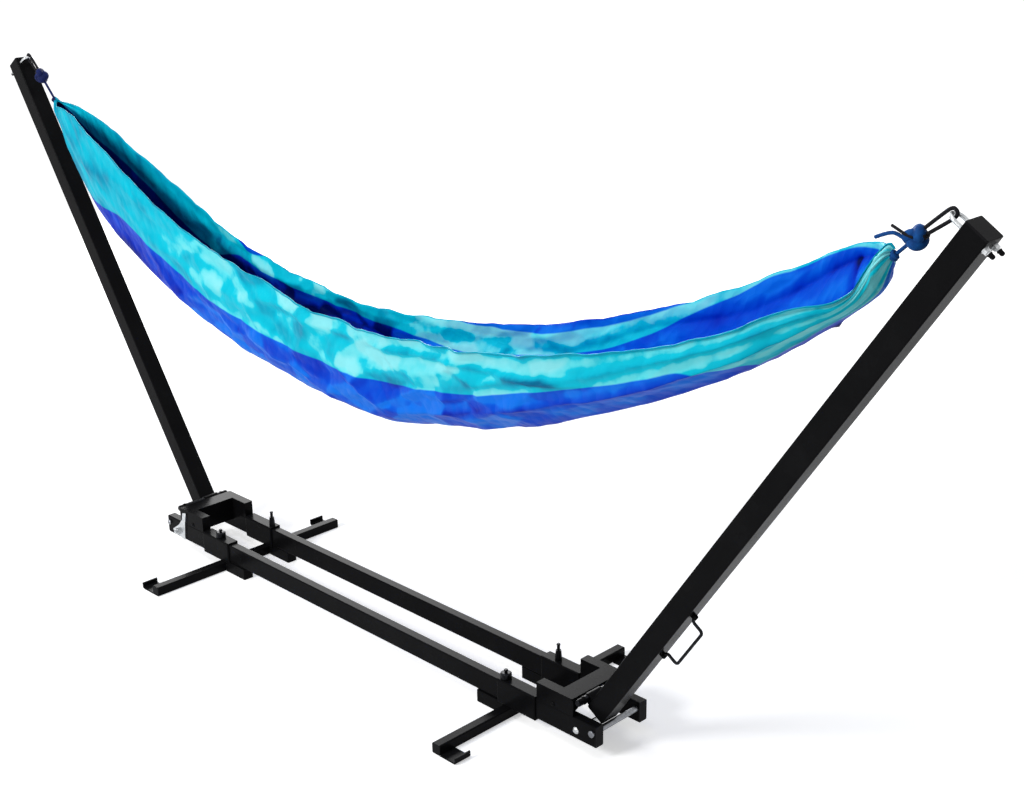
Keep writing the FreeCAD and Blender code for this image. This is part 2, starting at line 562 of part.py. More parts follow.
os.makedirs("parts", exist_ok=True)
for name, shape in parts.items():
    if not shape.isValid():
        print("not valid:", name)
    shape.exportStep(f"parts/{name}.step")
print(len(parts), "nodes")
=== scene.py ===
"""The finished look of a folding hammock stand and its striped nylon hammock.

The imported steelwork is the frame. This script gives it its finishes, and makes the cloth, the ropes
and the knots that the plain solids stand for.
"""
import json
import math

import bpy
import numpy as np
from mathutils import Matrix, Vector


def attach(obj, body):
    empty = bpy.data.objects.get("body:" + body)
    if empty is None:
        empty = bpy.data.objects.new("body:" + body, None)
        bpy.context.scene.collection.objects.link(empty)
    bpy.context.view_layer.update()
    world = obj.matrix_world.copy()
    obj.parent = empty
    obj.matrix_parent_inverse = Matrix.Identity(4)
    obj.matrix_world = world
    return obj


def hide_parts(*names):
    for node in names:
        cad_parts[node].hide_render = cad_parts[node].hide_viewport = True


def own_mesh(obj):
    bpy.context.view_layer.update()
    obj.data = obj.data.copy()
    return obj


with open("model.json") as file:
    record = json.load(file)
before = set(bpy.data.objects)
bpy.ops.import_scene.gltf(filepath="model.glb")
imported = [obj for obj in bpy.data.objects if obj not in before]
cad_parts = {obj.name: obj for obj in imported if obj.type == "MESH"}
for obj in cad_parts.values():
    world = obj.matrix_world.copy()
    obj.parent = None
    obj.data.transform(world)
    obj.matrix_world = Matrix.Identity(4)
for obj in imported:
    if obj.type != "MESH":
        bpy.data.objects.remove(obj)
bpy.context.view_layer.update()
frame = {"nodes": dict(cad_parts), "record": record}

ENDS = {"right": 1, "left": -1}

# Metres throughout. Each arm's line, as the part is built
ARM_Y = -0.021
ARM_FOOT = Vector((0.607, ARM_Y, 0.040))
ARM_LEAN = math.radians(33.65)
ARM_UP = Vector((math.sin(ARM_LEAN), 0, math.cos(ARM_LEAN)))
ARM_OUT = Vector((math.cos(ARM_LEAN), 0, -math.sin(ARM_LEAN)))
# The U-bolt near the arm's top: how far up it is, how far inside the arm's line its bow reaches, half its
# width, and where the caps on its threaded ends start on the other side
UBOLT_ALONG = 1.160
UBOLT_BOW = 0.045
UBOLT_HALF = 0.012
CAP_SEAT = 0.0284

# Ropes: where they run at the right end; the left end is the same turned half a turn about Z
KNOT = Vector((1.163, ARM_Y, 0.991))
KNOT_RADIUS = 0.019
UBOLT_MIDDLE = ARM_FOOT + ARM_UP * UBOLT_ALONG - ARM_OUT * UBOLT_BOW
TIE_POINTS = {"right": Vector((1.133, ARM_Y, 0.962)), "left": Vector((1.112, ARM_Y, 0.941))}
ROPE = 0.0055
THIN_ROPE = ROPE * 0.8
BINDING_RADIUS = 0.0026

# Lock pins: how far out the rails are, the pins' places along them, and the heights that each pin's
# spring stands between
RAIL_Y = 0.057
PIN_PLACES = {("near", "right"): 0.426, ("far", "right"): 0.448,
              ("near", "left"): -0.458, ("far", "left"): -0.426}
SPRING_BOTTOM = 0.0702


# ---------------------------------------------------------------- small helpers

def linear(hex_colour):
    """An sRGB hex colour as the linear values that shaders take."""
    channels = [int(hex_colour[k:k + 2], 16) / 255 for k in (1, 3, 5)]
    return (*(c / 12.92 if c <= 0.04045 else ((c + 0.055) / 1.055) ** 2.4 for c in channels), 1.0)


def add(tree, kind, inputs=None, stops=None, **settings):
    """Adds a node: its settings, its inputs as values or as sockets to link from, and a ramp's stops."""
    node = tree.nodes.new(kind)
    for name, value in settings.items():
        setattr(node, name, value)
    for name, value in (inputs or {}).items():
        if isinstance(value, bpy.types.NodeSocket):
            tree.links.new(value, node.inputs[name])
        else:
            node.inputs[name].default_value = value
    if stops:
        while len(node.color_ramp.elements) < len(stops):
            node.color_ramp.elements.new(0.5)
        for element, (position, colour) in zip(node.color_ramp.elements, stops):
            element.position, element.color = position, linear(colour)
    return node


def new_material(name):
    """A material with an empty node tree."""
    material = bpy.data.materials.new(name)
    material.use_nodes = True
    material.node_tree.nodes.clear()
    return material, material.node_tree


def smooth_between(knots, values, x):
    """A smooth curve through (knot, value) pairs that doesn't overshoot them."""
    knots, values, x = (np.asarray(a, float) for a in (knots, values, x))
    gaps = np.diff(knots)
    slopes = np.diff(values) / gaps
    tangents = np.empty_like(values)
    tangents[0], tangents[-1] = slopes[0], slopes[-1]
    before, after = slopes[:-1], slopes[1:]
    same = before * after > 0
    weight_1, weight_2 = 2 * gaps[1:] + gaps[:-1], gaps[1:] + 2 * gaps[:-1]
    blend = (weight_1 + weight_2) / (weight_1 / np.where(same, before, 1)
                                     + weight_2 / np.where(same, after, 1))
    tangents[1:-1] = np.where(same, blend, 0)
    k = np.clip(np.searchsorted(knots, x) - 1, 0, len(knots) - 2)
    s = (x - knots[k]) / gaps[k]
    return ((1 + 2 * s) * (1 - s) ** 2 * values[k] + s * (1 - s) ** 2 * gaps[k] * tangents[k]
            + s * s * (3 - 2 * s) * values[k + 1] + s * s * (s - 1) * gaps[k] * tangents[k + 1])


def new_object(name, mesh, material):
    """A mesh as a visible piece of one material."""
    piece = bpy.data.objects.new(name, mesh)
    bpy.context.scene.collection.objects.link(piece)
    piece.data.materials.append(material)
    return piece


def at_end(point, end):
    """A right-end point at the named end."""
    return Vector((ENDS[end] * point.x, ENDS[end] * point.y, point.z))


# ---------------------------------------------------------------- camera, light and floor

def make_camera():
    """A standing viewer's look across the stand from its front right corner."""
    azimuth, elevation, roll = math.radians(-45.35), math.radians(-19.8), -0.0153
    forward = Vector((math.cos(elevation) * math.sin(azimuth),
                      math.cos(elevation) * math.cos(azimuth), math.sin(elevation)))
    level = Vector((math.cos(azimuth), -math.sin(azimuth), 0))
    up = level.cross(forward)
    right = math.cos(roll) * level + math.sin(roll) * up
    above = -math.sin(roll) * level + math.cos(roll) * up
    data = bpy.data.cameras.new("viewer")
    data.lens, data.sensor_width = 54.21, 36
    camera = bpy.data.objects.new("viewer", data)
    camera.matrix_world = Matrix.Translation((2.1775, -1.7618, 1.4705)) @ Matrix(
        (right, above, -forward)).transposed().to_4x4()
    bpy.context.scene.collection.objects.link(camera)
    bpy.context.scene.camera = camera


def area_lamp(name, place, target, size, watts):
    """A round lamp of the given width that faces a target."""
    data = bpy.data.lights.new(name, "AREA")
    data.shape, data.size, data.energy = "DISK", size, watts
    lamp = bpy.data.objects.new(name, data)
    lamp.location = place
    lamp.rotation_euler = (Vector(target) - Vector(place)).to_track_quat("-Z", "Y").to_euler()
    bpy.context.scene.collection.objects.link(lamp)


def make_studio():
    """A white floor and sky, a key lamp in front, a weaker one overhead and a low one behind on the left."""
    def background_ray(tree):
        """1 for rays that come from the camera, a mirror or through glass, and 0 for the rest."""
        path = add(tree, "ShaderNodeLightPath")
        mirrored = add(tree, "ShaderNodeMath", {0: path.outputs["Is Glossy Ray"],
                                                1: path.outputs["Is Transmission Ray"]}, operation="MAXIMUM")
        return add(tree, "ShaderNodeMath", {0: mirrored.outputs[0], 1: path.outputs["Is Camera Ray"]},
                   operation="MAXIMUM").outputs[0]

    world = bpy.data.worlds.new("studio")
    world.use_nodes = True
    tree = world.node_tree
    tree.nodes.clear()
    soft = add(tree, "ShaderNodeBackground", {"Color": linear("#F4F6F8"), "Strength": 0.34})
    white = add(tree, "ShaderNodeBackground", {"Color": linear("#FFFFFF"), "Strength": 1.0})
    mix = add(tree, "ShaderNodeMixShader", {0: background_ray(tree), 1: soft.outputs[0], 2: white.outputs[0]})
    add(tree, "ShaderNodeOutputWorld", {"Surface": mix.outputs[0]})
    bpy.context.scene.world = world

    area_lamp("key", (-0.7, -3.6, 2.7), (0, 0, 0.6), 1.3, 112)
    area_lamp("overhead", (0.2, -0.6, 3.4), (0, 0, 0.5), 2.2, 26)
    area_lamp("back_left", (-2.7, 2.2, 1.45), (0, 0, 0.1), 2.6, 122)

    material, tree = new_material("white_floor")
    matt = add(tree, "ShaderNodeBsdfDiffuse", {"Color": linear("#F2F2F2"), "Roughness": 0.6})
    place = add(tree, "ShaderNodeTexCoord").outputs["Object"]
    away = add(tree, "ShaderNodeVectorMath", {0: place}, operation="LENGTH")
    fade = add(tree, "ShaderNodeMapRange", {"Value": away.outputs["Value"], "From Min": 1.5, "From Max": 6.0,
                                            "To Min": 0.42, "To Max": 0.8})
    glow = add(tree, "ShaderNodeEmission", {"Color": linear("#FFFFFF"), "Strength": fade.outputs[0]})
    both = add(tree, "ShaderNodeAddShader", {0: matt.outputs[0], 1: glow.outputs[0]})
    mix = add(tree, "ShaderNodeMixShader", {0: background_ray(tree), 1: matt.outputs[0], 2: both.outputs[0]})
    add(tree, "ShaderNodeOutputMaterial", {"Surface": mix.outputs[0]})
    mesh = bpy.data.meshes.new("floor")
    half, just_below = 40, -0.0005
    corners = [(-half, -half, 0), (half, -half, 0), (half, half, 0), (-half, half, 0)]
    mesh.from_pydata(corners, [], [(0, 1, 2, 3)])
    floor = new_object("floor", mesh, material)
    floor.location.z = just_below


# ---------------------------------------------------------------- materials

def coated_steel():
    """Black polyester powder coat: smooth and half gloss, with a fine orange peel and a faint haze."""
    material, tree = new_material("powder_coated_steel")
    place = add(tree, "ShaderNodeTexCoord").outputs["Object"]
    peel = add(tree, "ShaderNodeTexNoise", {"Vector": place, "Scale": 1 / 0.0022, "Detail": 2.0})
    clouds = add(tree, "ShaderNodeTexNoise", {"Vector": place, "Scale": 1 / 0.09, "Detail": 4.0,
                                              "Roughness": 0.65})
    colour = add(tree, "ShaderNodeValToRGB", {"Fac": clouds.outputs["Fac"]},
                 stops=[(0.25, "#0D0D0E"), (0.55, "#111112"), (0.8, "#161617")])
    rough = add(tree, "ShaderNodeMapRange", {"Value": clouds.outputs["Fac"], "From Min": 0.3, "From Max": 0.7,
                                             "To Min": 0.2, "To Max": 0.3})
    bump = add(tree, "ShaderNodeBump", {"Height": peel.outputs["Fac"], "Strength": 0.1, "Distance": 0.0003})
    shader = add(tree, "ShaderNodeBsdfPrincipled", {
        "Base Color": colour.outputs["Color"], "Roughness": rough.outputs[0], "Normal": bump.outputs[0],
        "IOR": 1.5, "Specular IOR Level": 0.022})
    add(tree, "ShaderNodeOutputMaterial", {"Surface": shader.outputs[0]})
    return material


def moulded_plastic():
    """Black polyethylene, injection moulded: an even, dull skin with a faint spark-eroded grain."""
    material, tree = new_material("moulded_polyethylene")
    place = add(tree, "ShaderNodeTexCoord").outputs["Object"]
    grain = add(tree, "ShaderNodeTexNoise", {"Vector": place, "Scale": 1 / 0.0009, "Detail": 3.0})
    marks = add(tree, "ShaderNodeTexNoise", {"Vector": place, "Scale": 1 / 0.018, "Detail": 5.0,
                                             "Roughness": 0.7})
    colour = add(tree, "ShaderNodeValToRGB", {"Fac": marks.outputs["Fac"]},
                 stops=[(0.3, "#08080A"), (0.7, "#101012")])
    bump = add(tree, "ShaderNodeBump", {"Height": grain.outputs["Fac"], "Strength": 0.25, "Distance": 0.0002})
    shader = add(tree, "ShaderNodeBsdfPrincipled", {
        "Base Color": colour.outputs["Color"], "Roughness": 0.5, "Normal": bump.outputs[0], "IOR": 1.5,
        "Specular IOR Level": 0.06})
    add(tree, "ShaderNodeOutputMaterial", {"Surface": shader.outputs[0]})
    return material


def metal(name, low, high, roughness, streak):
    """A bare or plated metal: faint drawing marks, and a finish that varies a little over it."""
    material, tree = new_material(name)
    place = add(tree, "ShaderNodeTexCoord").outputs["Object"]
    clouds = add(tree, "ShaderNodeTexNoise", {"Vector": place, "Scale": 1 / streak, "Detail": 5.0,
                                              "Roughness": 0.7})
    scratches = add(tree, "ShaderNodeTexNoise", {"Vector": place, "Scale": 1 / 0.0007, "Detail": 2.0})
    colour = add(tree, "ShaderNodeValToRGB", {"Fac": clouds.outputs["Fac"]}, stops=[(0.3, low), (0.7, high)])
    rough = add(tree, "ShaderNodeMapRange", {"Value": clouds.outputs["Fac"], "From Min": 0.3, "From Max": 0.7,
                                             "To Min": roughness + 0.1, "To Max": roughness - 0.05})
    bump = add(tree, "ShaderNodeBump", {"Height": scratches.outputs["Fac"], "Strength": 0.1,
                                        "Distance": 0.0002})
    shader = add(tree, "ShaderNodeBsdfPrincipled", {
        "Base Color": colour.outputs["Color"], "Metallic": 1.0, "Roughness": rough.outputs[0],
        "Normal": bump.outputs[0]})
    add(tree, "ShaderNodeOutputMaterial", {"Surface": shader.outputs[0]})
    return material


def braided_polyester(name, dark, light):
    """A soft braided polyester cord: the strands are in the mesh, the filaments in the bump."""
    material, tree = new_material(name)
    place = add(tree, "ShaderNodeTexCoord").outputs["Object"]
    filaments = add(tree, "ShaderNodeTexNoise", {"Vector": place, "Scale": 1 / 0.0006, "Detail": 3.0})
    patches = add(tree, "ShaderNodeTexNoise", {"Vector": place, "Scale": 1 / 0.008, "Detail": 3.0})
    colour = add(tree, "ShaderNodeValToRGB", {"Fac": patches.outputs["Fac"]},
                 stops=[(0.3, dark), (0.7, light)])
    bump = add(tree, "ShaderNodeBump", {"Height": filaments.outputs["Fac"], "Strength": 0.5,
                                        "Distance": 0.0003})
    shader = add(tree, "ShaderNodeBsdfPrincipled", {
        "Base Color": colour.outputs["Color"], "Roughness": 0.65, "Normal": bump.outputs[0],
        "Specular IOR Level": 0.12, "Sheen Weight": 0.04, "Sheen Roughness": 0.4, "IOR": 1.5})
    add(tree, "ShaderNodeOutputMaterial", {"Surface": shader.outputs[0]})
    return material


def striped_nylon():
    """Parachute nylon with wide dyed stripes: a thin taffeta whose silky gloss breaks up on its creases.

    The threads are 0.2 mm apart; they are drawn 2.4 mm apart, because finer ones wouldn't show.
    The mesh says how far each point is inside a blue stripe, and the painted light there: painted sheen on
    facets and ridges, painted shade in creases, on the hems and deep in the pouch.
    """
    material, tree = new_material("parachute_nylon_taffeta")
    cut = add(tree, "ShaderNodeUVMap", uv_map="cut").outputs["UV"]
    pitch = 0.0024
    threads = {"Vector": cut, "Scale": 2 * math.pi / (20 * pitch), "Distortion": 0.6, "Detail": 1.0}
    warp, weft = (add(tree, "ShaderNodeTexWave", threads, wave_type="BANDS", bands_direction=way)
                  for way in ("Y", "X"))
    weave = add(tree, "ShaderNodeMath", {0: warp.outputs["Fac"], 1: weft.outputs["Fac"]},
                operation="MULTIPLY")
    clouds = add(tree, "ShaderNodeTexNoise", {"Vector": cut, "Scale": 1 / 0.05, "Detail": 4.0})

    stripe = add(tree, "ShaderNodeAttribute", attribute_name="stripe_mm", attribute_type="GEOMETRY")
    bleed_mm = 1.2
    share = add(tree, "ShaderNodeMapRange", {"Value": stripe.outputs["Fac"], "From Min": -bleed_mm,
                                             "From Max": bleed_mm})
    # The painted light and shade that the mesh carries, added to a random tone of the dye
    painted_light = add(tree, "ShaderNodeAttribute", attribute_name="painted_light", attribute_type="GEOMETRY")
    tone = add(tree, "ShaderNodeMapRange", {"Value": clouds.outputs["Fac"], "From Min": 0.3, "From Max": 0.7,
                                            "To Min": -0.12, "To Max": 0.12})
    tone = add(tree, "ShaderNodeMath", {0: tone.outputs[0], 1: painted_light.outputs["Fac"]}, operation="ADD")
    # Each ramp runs from painted shade (creases, hems, deep in the pouch) to painted sheen on the lit facets
    turquoise = add(tree, "ShaderNodeValToRGB", {"Fac": tone.outputs[0]},
                    stops=[(0.0, "#00668E"), (0.2, "#0096B6"), (0.38, "#00B2CC"), (0.62, "#08C2D8"),
                           (0.70, "#5AD8E2"), (0.95, "#86E0E6")])
    blue = add(tree, "ShaderNodeValToRGB", {"Fac": tone.outputs[0]},
               stops=[(0.0, "#000C5C"), (0.2, "#0024AC"), (0.38, "#003EC6"), (0.62, "#0052D2"),
                      (0.8, "#0A70E2")])
    dyed = add(tree, "ShaderNodeMix", {"Factor": share.outputs[0], "A": turquoise.outputs["Color"],
                                       "B": blue.outputs["Color"]}, data_type="RGBA")
    creases = add(tree, "ShaderNodeTexVoronoi", {"Vector": cut, "Scale": 1 / 0.022, "Randomness": 1.0},
                  feature="F1", distance="EUCLIDEAN")
    folded = add(tree, "ShaderNodeBump", {"Height": creases.outputs["Distance"], "Strength": 0.35,
                                          "Distance": 0.006})
    bump = add(tree, "ShaderNodeBump", {"Height": weave.outputs[0], "Normal": folded.outputs[0],
                                        "Strength": 0.15, "Distance": 0.0005})
    shader = add(tree, "ShaderNodeBsdfPrincipled", {
        "Base Color": dyed.outputs["Result"], "Roughness": 0.46, "Normal": bump.outputs[0],
        "Specular IOR Level": 0.08, "Specular Tint": linear("#C8F0FF"), "IOR": 1.5})
    add(tree, "ShaderNodeOutputMaterial", {"Surface": shader.outputs[0]})
    return material


# ---------------------------------------------------------------- ropes and knots

def spline_points(name, points):
    """The smooth line that a NURBS spline makes of a route's points."""
    curve = bpy.data.curves.new(name, "CURVE")
    curve.dimensions, curve.resolution_u = "3D", 24
    spline = curve.splines.new("NURBS")
    spline.points.add(len(points) - 1)
    for control, point in zip(spline.points, points):
        control.co = (*point, 1)
    spline.order_u = 3
    spline.use_endpoint_u = True
    carrier = bpy.data.objects.new(name, curve)
    mesh = bpy.data.meshes.new_from_object(carrier)
    line = np.array([v.co for v in mesh.vertices])
    bpy.data.objects.remove(carrier)
    bpy.data.meshes.remove(mesh)
    return line


def evenly(line, step):
    """Points at an even spacing along a line of points."""
    runs = np.linalg.norm(np.diff(line, axis=0), axis=1)
    walked = np.concatenate([[0], np.cumsum(runs)])
    count = max(3, round(walked[-1] / step) + 1)
    wanted = np.linspace(0, walked[-1], count)
    return np.stack([np.interp(wanted, walked, line[:, k]) for k in range(3)], 1), wanted


def tube_mesh(name, line, radius, walked, braid_depth=0.12, closed=False, sides=24):
    """A tube along a line, its skin raised in the crossing strands of a braid.

    walked is how far along the line each of its points lies.
    """
    count, strands, lay_in_radii, dome = len(line), 8, 6, 0.35
    if closed:
        tangents = np.roll(line, -1, 0) - np.roll(line, 1, 0)
    else:
        tangents = np.gradient(line, axis=0)
    tangents /= np.linalg.norm(tangents, axis=1)[:, None]
    side = np.cross(tangents[0], (0.0, 1.0, 0.0))
    if np.linalg.norm(side) < 0.2:
        side = np.cross(tangents[0], (1.0, 0.0, 0.0))
    frames = []
    for tangent in tangents:
        side = side - tangent * side.dot(tangent)
        side /= np.linalg.norm(side)
        frames.append((side.copy(), np.cross(tangent, side)))
    twist = 0.0
    if closed:
        first, last = frames[0], frames[-1]
        twist = math.atan2(last[0].dot(first[1]), last[0].dot(first[0]))
    angles = np.linspace(0, 2 * math.pi, sides, endpoint=False)
    lay = 2 * math.pi / (radius * lay_in_radii)
    vertices = []
    for k, (point, (across, over)) in enumerate(zip(line, frames)):
        turned = angles - twist * k / count
        one = np.cos(strands / 2 * angles + lay * walked[k])
        other = np.cos(strands / 2 * angles - lay * walked[k])
        skin = radius * (1 - braid_depth + braid_depth * np.maximum(np.abs(one), np.abs(other)))
        vertices.append(point + np.outer(np.cos(turned) * skin, across)
                        + np.outer(np.sin(turned) * skin, over))
    vertices = np.concatenate(vertices)
    faces = []
    for k in range(count if closed else count - 1):
        a, b = k * sides, (k + 1) % count * sides
        faces += [(a + j, a + (j + 1) % sides, b + (j + 1) % sides, b + j) for j in range(sides)]
    if not closed:
        start, end = len(vertices), len(vertices) + 1
        vertices = np.vstack([vertices, line[0] - tangents[0] * radius * dome,
                              line[-1] + tangents[-1] * radius * dome])
        last = (count - 1) * sides
        faces += [(start, (j + 1) % sides, j) for j in range(sides)]
        faces += [(end, last + j, last + (j + 1) % sides) for j in range(sides)]
    mesh = bpy.data.meshes.new(name)
    mesh.from_pydata([tuple(v) for v in vertices], [], faces)
    mesh.polygons.foreach_set("use_smooth", [True] * len(mesh.polygons))
    return mesh


def rope(name, end, points, diameter, material, body, node):
    """A rope: a braided tube on the smooth line of its route."""
    line, walked = evenly(spline_points(name, [at_end(p, end) for p in points]), 0.0007)
    piece = new_object(name, tube_mesh(name, line, diameter / 2, walked), material)
    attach(piece, body)
    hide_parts(node)
    return piece


def make_ropes(cord_at, black):
    """The loop over each U-bolt, the neck rope to the cloth and the two loose tails."""
    pull = (UBOLT_MIDDLE - KNOT).normalized()
    across = Vector((-pull.z, 0, pull.x))

    def by_bolt(along, side):
        return UBOLT_MIDDLE + pull * along * 0.001 + across * side * 0.001

    start = KNOT + pull * 0.014
    loop = [start + across * 0.004, by_bolt(-12, 6.4), by_bolt(4.2, 6.6), by_bolt(7.4, 0), by_bolt(4.2, -6.6),
            by_bolt(-12, -6.4), start - across * 0.004]
    low_tail = [KNOT + Vector(v) * 0.001 for v in ((-5, -7, -6), (-20, -9, 3), (-34, -9, 4), (-55, -9, -6.5))]
    high_tail = [KNOT + Vector(v) * 0.001 for v in ((1, -10, 2), (-7, -12, 4), (-18, -12, 9), (-30, -12, 14))]
    for end in ENDS:
        tie = TIE_POINTS[end]
        body = f"arm_{end}"
        rope(f"end_loop_rope_{end}", end, loop, ROPE, black, body, f"end_loop_{end}")
        line = (tie - KNOT).normalized()
        neck = [KNOT + line * 0.005, KNOT + line * 0.5 * (tie - KNOT).length, tie]
        rope(f"neck_cord_{end}", end, neck, ROPE, cord_at[end], body, f"neck_rope_{end}")
    rope("blue_tail", "right", low_tail, ROPE, cord_at["right"], "arm_right", "rope_tail")
    rope("black_tail", "right", high_tail, THIN_ROPE, black, "arm_right", "loop_tail")


def coil(centre, line, start, rise, radius, turns, drift=0.0):
    """A helix round a line through a centre, which may drift a little in and out."""
    first = line.cross(Vector((0, 1, 0))).normalized()
    second = line.cross(first)
    angles = np.linspace(0, 2 * math.pi * turns, int(46 * turns))
    return np.array([centre + line * (start + rise * a / angles[-1])
                     + (first * math.cos(a) + second * math.sin(a)) * (radius + drift * math.sin(a * 0.7))
                     for a in angles])


def make_knots(cord_at, black):
    """At each end: an overhand knot in blue rope, turns of black rope over it, and the cloth's binding."""
    pull = (UBOLT_MIDDLE - KNOT).normalized()
    side = Vector((0, 1, 0))
    over = pull.cross(side)
    strand = 0.0082
    turns = np.linspace(0, 2 * math.pi, 180, endpoint=False)
    loops = np.stack([1.18 * (np.sin(turns) + 2 * np.sin(2 * turns)), np.cos(turns) - 2 * np.cos(2 * turns),
                      -1.5 * np.sin(3 * turns)], 1) * (KNOT_RADIUS - strand) / 3.3

    def wound(name, end, line, radius, material, node, slot, **settings):
        piece = new_object(f"{name}_{end}", tube_mesh(name, line, radius, **settings), material)
        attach(piece, f"arm_{end}")
        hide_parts(node)

    for end in ENDS:
        centre = at_end(KNOT, end)
        axes = [at_end(pull, end), at_end(over, end), side * ENDS[end]]
        line = np.array([centre + axes[0] * p[0] + axes[1] * p[1] + axes[2] * p[2] for p in loops])
        wound("blue_knot", end, line, strand, cord_at[end], f"hammock_knot_{end}", "blue_rope",
              walked=np.arange(len(line)) * 0.0011, closed=True, braid_depth=0.08)
        line, walked = evenly(coil(centre, axes[0], 0.0095, 0.0055, 0.0072, 1.7), 0.0006)
        wound("black_turns", end, line, BINDING_RADIUS, black, f"end_loop_{end}", "black_rope",
              walked=walked, sides=16)
        neck = at_end((TIE_POINTS[end] - KNOT).normalized(), end)
        tie = at_end(TIE_POINTS[end], end)
        line, walked = evenly(coil(tie, neck, -0.0035, 0.0075, 0.0047, 2.6, 0.0009), 0.0006)
        wound("cloth_binding", end, line, BINDING_RADIUS, cord_at[end], "cloth_ties", "blue_rope",
              walked=walked, sides=16)


def make_bolt_caps(material):
    """Moulded caps pushed over the U-bolts' threaded ends, with a rolled lip and a domed tip."""
    profile = [(0.0, 0.0040), (0.0006, 0.0043), (0.0014, 0.0040), (0.0020, 0.0035), (0.0064, 0.0034),
               (0.0078, 0.0028), (0.0085, 0.0016), (0.0087, 0.0001)]
    turns = np.linspace(0, 2 * math.pi, 28, endpoint=False)
    for end in ENDS:
        out, up = at_end(ARM_OUT, end), at_end(ARM_UP, end)
        side = out.cross(up)
        seat = at_end(ARM_FOOT + ARM_UP * UBOLT_ALONG + ARM_OUT * CAP_SEAT, end)
        for number, y in enumerate((-UBOLT_HALF, UBOLT_HALF)):
            foot = seat + Vector((0, y, 0))
            points = np.array([[foot + out * along + (up * math.cos(a) + side * math.sin(a)) * radius
                                for a in turns] for along, radius in profile]).reshape(-1, 3)
            index = np.arange(len(points)).reshape(len(profile), len(turns))
            ahead = np.roll(index, -1, 1)
            faces = np.stack([index[:-1], ahead[:-1], ahead[1:], index[1:]], -1).reshape(-1, 4).tolist()
            ends = [index[0, ::-1].tolist(), index[-1].tolist()]
            mesh = bpy.data.meshes.new("bolt_cap")
            mesh.from_pydata([tuple(p) for p in points], [], faces + ends)
            mesh.polygons.foreach_set("use_smooth", [True] * len(mesh.polygons))
            cap = new_object(f"bolt_cap_{end}_{number + 1}", mesh, material)
            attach(cap, f"arm_{end}")


def make_pin_springs(material):
    """The coil spring inside each lock pin's housing, drawn at one length; it does not shorten here."""
    wire, turns = 0.00042, 5
    for (rail, end), x in PIN_PLACES.items():
        foot = Vector((x, RAIL_Y if rail == "far" else -RAIL_Y, SPRING_BOTTOM))
        line, walked = evenly(coil(foot, Vector((0, 0, 1)), 0.0004, 0.0076, 0.0035, turns), 0.0007)
        spring = new_object(f"coil_spring_{rail}_{end}",
                            tube_mesh("spring", line, wire, walked, braid_depth=0, sides=8), material)
        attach(spring, f"foot_{end}")
        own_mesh(spring)
        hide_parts(f"pin_spring_{rail}_{end}")


# ---------------------------------------------------------------- the cloth

# Millimetres: along X, across Y, lowest Z, near rim Z, far rim Z, half the width. From -1075 to 900 they are
# the shell's own; beyond that the cloth runs on to its ties and closes on them more roundly
CLOTH_SECTIONS = np.array([
    (-1112, 21, 936, 946, 946, 5),
    (-1104, 20, 918, 942, 944, 12),
    (-1097, 20, 906, 936, 940, 17),
    (-1075, 20, 880, 931, 934, 22),
    (-1030, 19, 818, 935, 919, 33),
    (-900, 16, 693, 895, 865, 47),
    (-650, 12, 570, 780, 765, 52),
    (-350, 6, 488, 690, 678, 54),
    (0, 0, 455, 646, 645, 65),
    (350, -6, 520, 679, 684, 90),
    (650, -12, 625, 741, 770, 107),
    (900, -16, 748, 820, 880, 102),
    (1030, -19, 838, 885, 946, 78),
    (1095, -20, 886, 908, 966, 50),
    (1117, -20, 910, 955, 978, 32),
    (1126, -21, 936, 972, 976, 16),
    (1131, -21, 955, 969, 969, 5),
]) * 0.001
# The section's shape as shares of half the width and of the height: open along the cloth, closed at its ends
OPEN_ACROSS, OPEN_RISE = (0, 0.30, 0.60, 0.82, 0.93, 0.985, 1), (0, 0.025, 0.10, 0.25, 0.45, 0.75, 1)
SHUT_ACROSS, SHUT_RISE = (0, 0.45, 0.86, 1, 0.80, 0.36, 0.02), (0, 0.06, 0.25, 0.55, 0.80, 0.96, 1)
# Between which places along X each mouth goes from open to shut
MOUTH = {"right": (1.066, 1.116), "left": (-1.050, -1.098)}
# Places along X, and the share of each wall's height that the blue stripe takes up there
STRIPE_NEAR = ((-1.12, 0.0), (-1.0, 0.01), (-0.88, 0.25), (-0.755, 0.44), (-0.44, 0.42), (-0.035, 0.49),
               (0.33, 0.47), (0.585, 0.51), (0.82, 0.47), (0.88, 0.30), (0.93, 0.12), (0.97, 0.0),
               (1.14, 0.0))
STRIPE_FAR = ((-1.12, 0.66), (-1.09, 0.68), (-1.04, 0.60), (-0.918, 0.71), (-0.78, 0.70), (-0.62, 0.64),
              (-0.57, 0.64), (-0.46, 0.85), (-0.30, 0.86), (-0.06, 0.85), (0.03, 0.83), (0.13, 0.74),
              (0.22, 0.68), (0.517, 0.65), (0.62, 0.72), (0.72, 0.87), (0.786, 0.91), (0.864, 0.98),
              (1.0, 0.98), (1.065, 0.91), (1.09, 0.76), (1.14, 0.3))
# Places along X, and how wide a second blue band along the far rim is there: below nothing, it has none
RIM_BAND = ((-1.2, -0.01), (-0.50, -0.005), (-0.43, 0.008), (-0.36, -0.005), (0.1, -0.005), (0.28, 0.006),
            (0.40, 0.014), (0.55, 0.012), (0.70, 0.0), (0.8, -0.01), (1.2, -0.01))
# The grid: its step along the cloth, its rows across it, and the rolled hem's radius and rows
CLOTH_STEP = 0.0036
ROWS = 111
HEM = 0.0018
HEM_ROWS = 7


